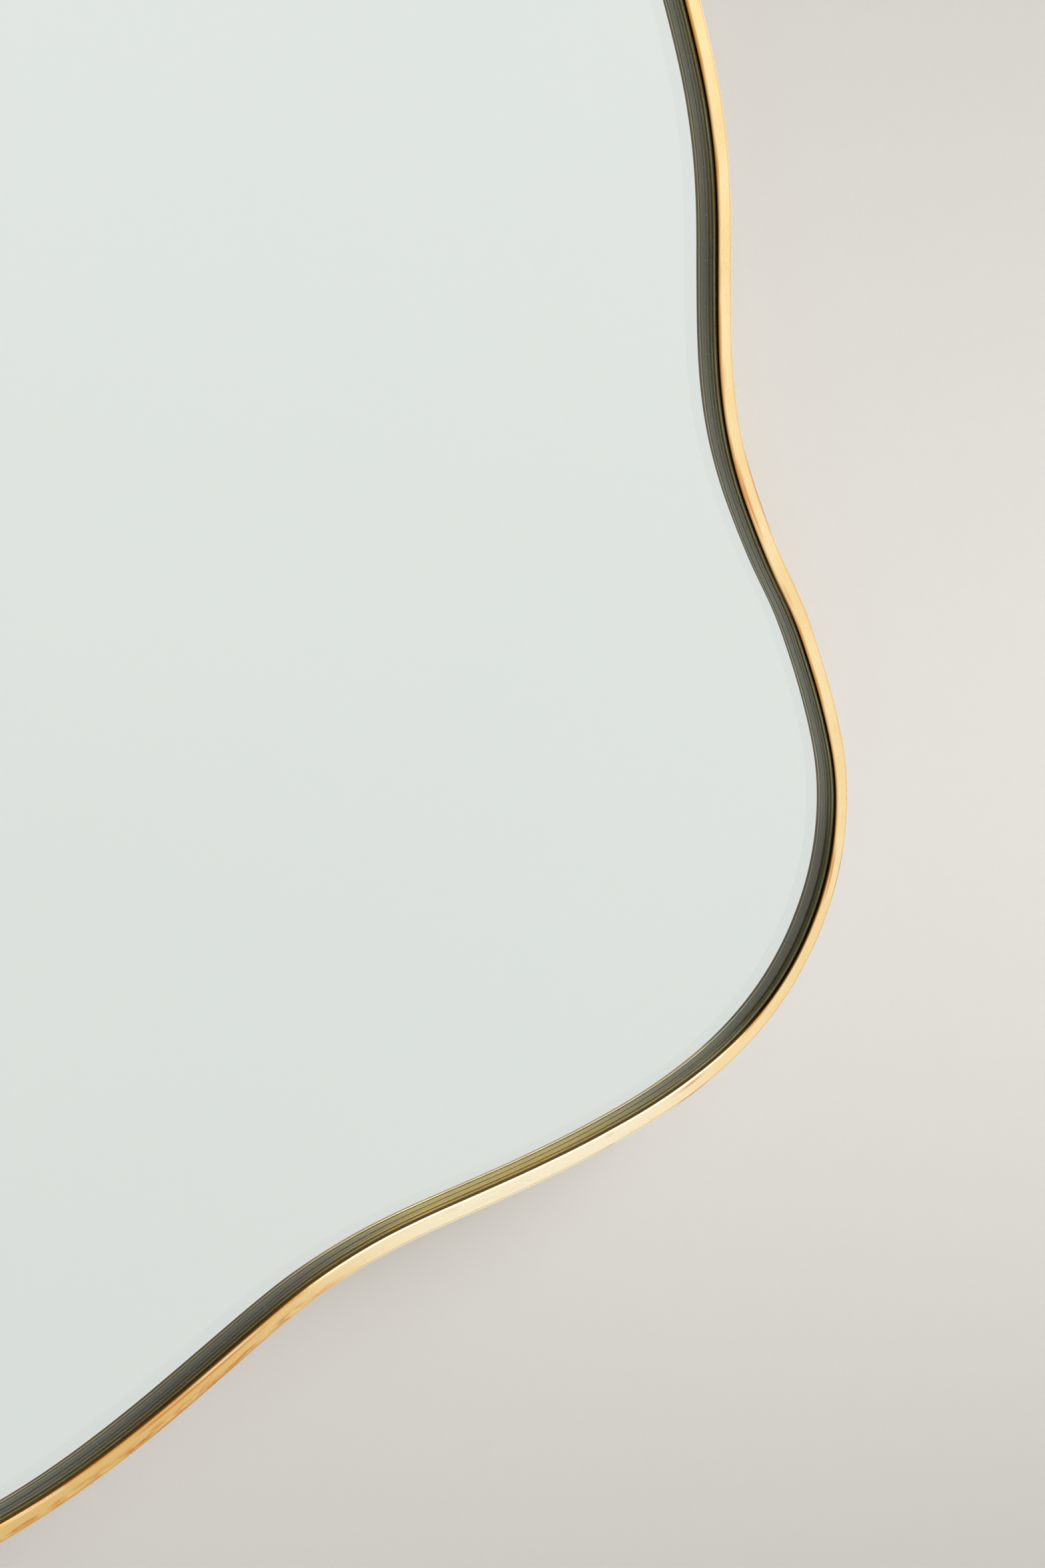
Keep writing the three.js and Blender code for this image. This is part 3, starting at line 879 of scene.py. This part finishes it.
def make_screws():
    """All ten screws: a head with a cross recess and a threaded shank, turned differently."""
    head = screw_head()
    shank = new_piece("shank_master", *thread_mesh(), [ZINC])
    make_consistent(shank)
    rng = np.random.default_rng(11)
    seats = []
    for number, place in enumerate(TAB_PLACES, 1):
        x, z = fitting_at(place, TAB_SCREW_INSET)
        seats.append((f"tab_screw_{number}", x, BOARD_BACK + TAB_THICKNESS, z))
    in_straps = [(side, below) for side in (-1, 1) for below in STRAP_SCREWS]
    for number, (side, below) in enumerate(in_straps, 1):
        seats.append((f"hanger_screw_{number}", side * HANGER_X,
                      BOARD_BACK + STRAP_THICKNESS, PIN_Z - below))
    for node, *seat in seats:
        work = bmesh.new()
        work.from_mesh(head)
        work.from_mesh(shank.data)
        turn = Matrix.Rotation(rng.uniform(0, 2 * math.pi), 4, "Y")
        work.transform(Matrix.Translation(Vector(seat) * MM) @ turn)
        mesh = bpy.data.meshes.new(node + "_turned")
        work.to_mesh(mesh)
        work.free()
        mesh.materials.append(ZINC)
        mesh.set_sharp_from_angle(angle=math.radians(35))
        piece = bpy.data.objects.new(node + "_turned", mesh)
        bpy.context.scene.collection.objects.link(piece)
        settle(piece, BODY, node)
    bpy.data.objects.remove(shank)


def ring_path():
    """Middle of the ring's wire: pin, rounded corners and a round top, pin at the origin."""
    right = [(x, 0) for x in (WIRE_SEAM / 2, *PIN_STEPS)]
    right += arc((RING_HALF_WIDTH - RING_CORNER, RING_CORNER), RING_CORNER, 270, 360, 9)
    rise = RING_HEIGHT - RING_CORNER
    right += [(RING_HALF_WIDTH * math.cos(a), RING_CORNER + rise * math.sin(a))
              for a in np.radians(np.linspace(0, 90, 19)[1:-1])]
    left = [(-x, z) for x, z in reversed(right)]
    return right + [(0, RING_HEIGHT)] + left


def make_ring(side, body):
    """A bent wire ring, round in section, with dressed ends that meet inside the strap."""
    sides = 20
    path = np.array([(x, 0, z) for x, z in ring_path()], float)
    tangents = np.gradient(path, axis=0)
    tangents /= np.linalg.norm(tangents, axis=1)[:, None]
    across = np.array([0.0, 1.0, 0.0])
    vertices = []
    for point, tangent in zip(path, tangents):
        beside = np.cross(tangent, across)
        for k in range(sides):
            angle = 2 * math.pi * k / sides
            offset = WIRE_RADIUS * (math.cos(angle) * across + math.sin(angle) * beside)
            vertices.append(point + offset)
    faces = tube_faces(len(path), sides)
    place = np.array([-HANGER_X if side == "left" else HANGER_X, PIN_Y, PIN_Z], float)
    smooth = [True] * (len(faces) - 2) + [False, False]
    piece = new_piece(f"ring_wire_{side}", np.array(vertices) + place, faces, [ZINC], smooth=smooth)
    make_consistent(piece)
    settle(piece, body, f"hanger_ring_{side}")


def make_bumpers():
    """Moulded rubber bumpers with rounded edges, a shallow dish in the tip and a foot flange."""
    profile = rounded([
        (0, BOARD_BACK), (BUMPER_RADIUS, BOARD_BACK), (BUMPER_RADIUS, BOARD_BACK + BUMPER_FLANGE),
        (BUMPER_RADIUS - BUMPER_STEP, BOARD_BACK + BUMPER_SHOULDER), (BUMPER_TIP_RADIUS, 0),
        (BUMPER_DISH_RADIUS, 0), (0, -BUMPER_DISH_DEPTH),
    ], BUMPER_ROUND)
    vertices, faces = lathe(profile, sides=48)
    for number, place in enumerate(BUMPER_PLACES, 1):
        x, z = fitting_at(place, BUMPER_INSET)
        placed = np.array(vertices) + (x, 0, z)
        piece = new_piece(f"bumper_moulded_{number}", placed, faces, [RUBBER])
        make_consistent(piece)
        settle(piece, BODY, f"wall_bumper_{number}")


def make_fillets():
    """Bead of brazing metal along the root of each tab, on the strip's inner wall."""
    rng = np.random.default_rng(5)
    steps, sides = 40, 12
    half_length = TAB_WIDTH / 2 - BRAZE_INSET
    spread = np.linspace(-half_length, half_length, steps)
    step = np.arange(steps)
    taper = np.clip(np.minimum(step, steps - 1 - step) / 3, 0.25, 1) ** 0.5
    for number, place in enumerate(TAB_PLACES, 1):
        points, directions = spline(ROW_POLES, place + spread / (LENGTH / len(POLES)))
        out = outward(directions)
        ripple = BRAZE_RIPPLE * np.sin(step * 0.9 + rng.uniform(0, 6))
        radii = (BRAZE_RADIUS + ripple) * taper
        roots = points - out * (STRIP_WIDTH / 2 + BRAZE_GAP)
        vertices = []
        for root, inward, radius in zip(roots, -out, radii):
            for side in range(sides):
                angle = 2 * math.pi * side / sides
                x, z = root + inward * radius * math.cos(angle) * BRAZE_SQUASH
                up = radius * math.sin(angle)
                vertices.append((x, BOARD_BACK + TAB_THICKNESS + BRAZE_GAP + up, z))
        piece = new_piece(f"braze_fillet_{number}", vertices, tube_faces(steps, sides), [BRAZE])
        make_consistent(piece)
        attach(piece, BODY)


# ---------------------------------------------------------------- assembly

def settle(piece, body, node):
    """The piece rides on a body and takes the place of a CAD node."""
    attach(piece, body)
    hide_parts(node)


def dress(node, material, bevel=None):
    """Gives a carried-over CAD node its material, and softens its sharp edges."""
    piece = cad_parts[node]
    piece.data.materials.clear()
    piece.data.materials.append(material)
    piece.data.polygons.foreach_set("material_index", np.zeros(len(piece.data.polygons), np.int32))
    if bevel:
        weld = piece.modifiers.new("weld", "WELD")
        weld.merge_threshold = 0.00001
        soft = piece.modifiers.new("soft_edges", "BEVEL")
        soft.width = bevel * MM
        soft.segments = 2
        soft.limit_method = "ANGLE"
        soft.angle_limit = math.radians(40)


settle(make_strip(), BODY, "frame_strip")
settle(make_glass(), BODY, "mirror_glass")
make_screws()
make_ring("left", "ring_left")
make_ring("right", "ring_right")
make_bumpers()
make_fillets()
dress("backing_board", BOARD, 0.25)
for number in range(1, 6):
    dress(f"mounting_tape_{number}", FOAM, 0.1)
for number in range(1, 7):
    dress(f"fixing_tab_{number}", BRASS_TAB, 0.2)
for side in ("left", "right"):
    dress(f"hanger_strap_{side}", ZINC, 0.15)


# ---------------------------------------------------------------- stage

FLOOR_Z = -0.80
STAGE_HALF_WIDTH = 2.6
FLOOR_HALF_WIDTH = 8
WALL_HEIGHT = 1.9
WALL_Y = 0.0004
WALL_OVERLAP = 1.5  # of the wall behind the strip, in millimetres from the middle of the strip
LIGHT_POOL_Z = -0.396
LIGHT_POOL_REACH = 0.45


def wall_material():
    """Pale warm wall with a painted pool of light level with the mirror's lobe, and clear when seen
    from behind.
    """
    r = Recipe("stage_wall", Specular_IOR_Level=0.1, Roughness=0.9)
    where = r.place()
    # painted pool of light: lightest at the lobe's height, darker away from it
    away = r.math("ABSOLUTE", r.math("SUBTRACT", r.axis(where, "Z"), LIGHT_POOL_Z))
    shade = r.ramp(away, 0.0, LIGHT_POOL_REACH)
    pale = r.mix(shade, linear(231, 229, 226), linear(199, 197, 193))
    grain = r.noise(where, 900, 3, 0.7)
    r.finish(pale, normal=r.bump(grain, 0.0001, 0.3))
    behind = r.product(r.node("ShaderNodeNewGeometry", output="Backfacing"),
                       r.node("ShaderNodeLightPath", output="Is Camera Ray"))
    clear = r.node("ShaderNodeBsdfTransparent")
    seen = r.node("ShaderNodeMixShader", {0: behind, 1: r.shader.outputs[0], 2: clear})
    r.tree.links.new(seen, r.tree.nodes["Material Output"].inputs["Surface"])
    return r.material


def floor_material():
    """Plain pale floor."""
    r = Recipe("stage_floor", Specular_IOR_Level=0.1, Roughness=0.9)
    grain = r.noise(r.place(), 3, 3)
    return r.finish(r.mix(grain, linear(222, 219, 213), linear(218, 215, 209)))


def make_wall():
    """Wall with an opening behind the mirror, so that light reaches the mirror's back."""
    opening = LINE - NORMALS * WALL_OVERLAP
    half, bottom, top = STAGE_HALF_WIDTH / MM, FLOOR_Z / MM, WALL_HEIGHT / MM
    corners = [(-half, bottom), (half, bottom), (half, top), (-half, top)]
    loops = [[Vector((x, z, 0)) for x, z in corners], [Vector((x, z, 0)) for x, z in opening]]
    faces = tessellate_polygon(loops)
    vertices = [(p.x, WALL_Y / MM, p.y) for loop in loops for p in loop]
    piece = new_piece("stage_wall", vertices, faces, [wall_material()], smooth=[False] * len(faces))
    if sum(polygon.normal.y for polygon in piece.data.polygons) > 0:
        piece.data.flip_normals()
    return piece


def make_floor():
    """Flat floor that reaches past every view of the mirror."""
    half = FLOOR_HALF_WIDTH / MM
    corners = ((-half, -half), (half, -half), (half, half), (-half, half))
    vertices = [(x, y, FLOOR_Z / MM) for x, y in corners]
    return new_piece("stage_floor", vertices, [(0, 1, 2, 3)], [floor_material()], smooth=[False])


wall = make_wall()
floor = make_floor()
floor.visible_glossy = False
floor.visible_transmission = False


# ---------------------------------------------------------------- light and camera

def area_lamp(name, place, target, size, watts):
    """A square lamp aimed at a target, and not seen through the glass."""
    lamp = bpy.data.lights.new(name, "AREA")
    lamp.shape = "SQUARE"
    lamp.size = size
    lamp.energy = watts
    holder = bpy.data.objects.new(name, lamp)
    holder.location = place
    holder.rotation_euler = (Vector(target) - Vector(place)).to_track_quat("-Z", "Y").to_euler()
    bpy.context.scene.collection.objects.link(holder)
    holder.visible_transmission = False


area_lamp("key", (1.9, -1.7, 1.5), (0.05, 0, -0.3), size=2.4, watts=53)
area_lamp("rear_fill", (-1.2, 2.2, 1.3), (0, 0, -0.25), size=1.6, watts=40)

# Directions of the surroundings, by the parts of a unit vector in the row frame
DIM_SIDE = Vector((-0.75, -0.5, 0.35)).normalized()
DIM_EDGE = (0.5, 0.68)  # cosines to the dim side where it begins and is full
LOW_Z = (0.1, -0.7)
CORNER_X = (0.12, -0.06)
CORNER_Y = (-0.47, -0.36)
CORNER_Z = (0.97, 0.9)

PALE = (1.0, 1.0, 1.0, 1)
PALE_LOW = (0.87, 0.87, 0.87, 1)
DIM = (0.37, 0.37, 0.355, 1)
DARK = (0.015, 0.015, 0.015, 1)
BACKGROUND = linear(232, 230, 225)


def make_world():
    """Pale surroundings for the strip's inner wall to show: dim on one side, dark in a corner."""
    world = bpy.data.worlds.new("studio")
    world.use_nodes = True
    bpy.context.scene.world = world
    tree = world.node_tree
    heading = add_node(tree, "ShaderNodeTexCoord", output="Generated")

    def part(name):
        return add_node(tree, "ShaderNodeSeparateXYZ", {"Vector": heading}, output=name)

    def share(value, ends):
        low, high = ends
        return add_node(tree, "ShaderNodeMapRange",
                        {"Value": value, "From Min": low, "From Max": high},
                        interpolation_type="SMOOTHSTEP")

    def calc(operation, a, b):
        return add_node(tree, "ShaderNodeMath", {0: a, 1: b}, operation=operation)

    toward = add_node(tree, "ShaderNodeVectorMath", {0: heading, 1: DIM_SIDE}, output="Value",
                      operation="DOT_PRODUCT")
    corner = calc("MULTIPLY", share(part("X"), CORNER_X), share(part("Y"), CORNER_Y))
    corner = calc("MULTIPLY", corner, calc("LESS_THAN", part("Y"), 0.0))
    corner = calc("MULTIPLY", corner, share(part("Z"), CORNER_Z))
    around = add_mix(tree, share(part("Z"), LOW_Z), PALE, PALE_LOW)
    around = add_mix(tree, share(toward, DIM_EDGE), around, DIM)
    around = add_mix(tree, corner, around, DARK)
    seen = add_node(tree, "ShaderNodeLightPath", output="Is Camera Ray")
    color = add_mix(tree, seen, around, BACKGROUND)
    tree.links.new(color, tree.nodes["Background"].inputs["Color"])


make_world()

# Camera fitted to the photo
LENS = 76.53
SENSOR_WIDTH = 36
RIGHT = Vector((0.65609677, -0.72854776, 0.19686337))
UP = Vector((0.0, 0.26085787, 0.96537722))
FORWARD = Vector((0.75467677, 0.63338087, -0.171148))
EYE = Vector((-0.494157, -0.542703, -0.249511))

camera_data = bpy.data.cameras.new("camera")
camera_data.lens = LENS
camera_data.sensor_width = SENSOR_WIDTH
camera_data.clip_start = 0.01
camera = bpy.data.objects.new("camera", camera_data)
camera.matrix_world = Matrix.Translation(EYE) @ Matrix((RIGHT, UP, -FORWARD)).transposed().to_4x4()
bpy.context.scene.collection.objects.link(camera)
bpy.context.scene.camera = camera
bpy.context.scene.view_settings.view_transform = "Standard"
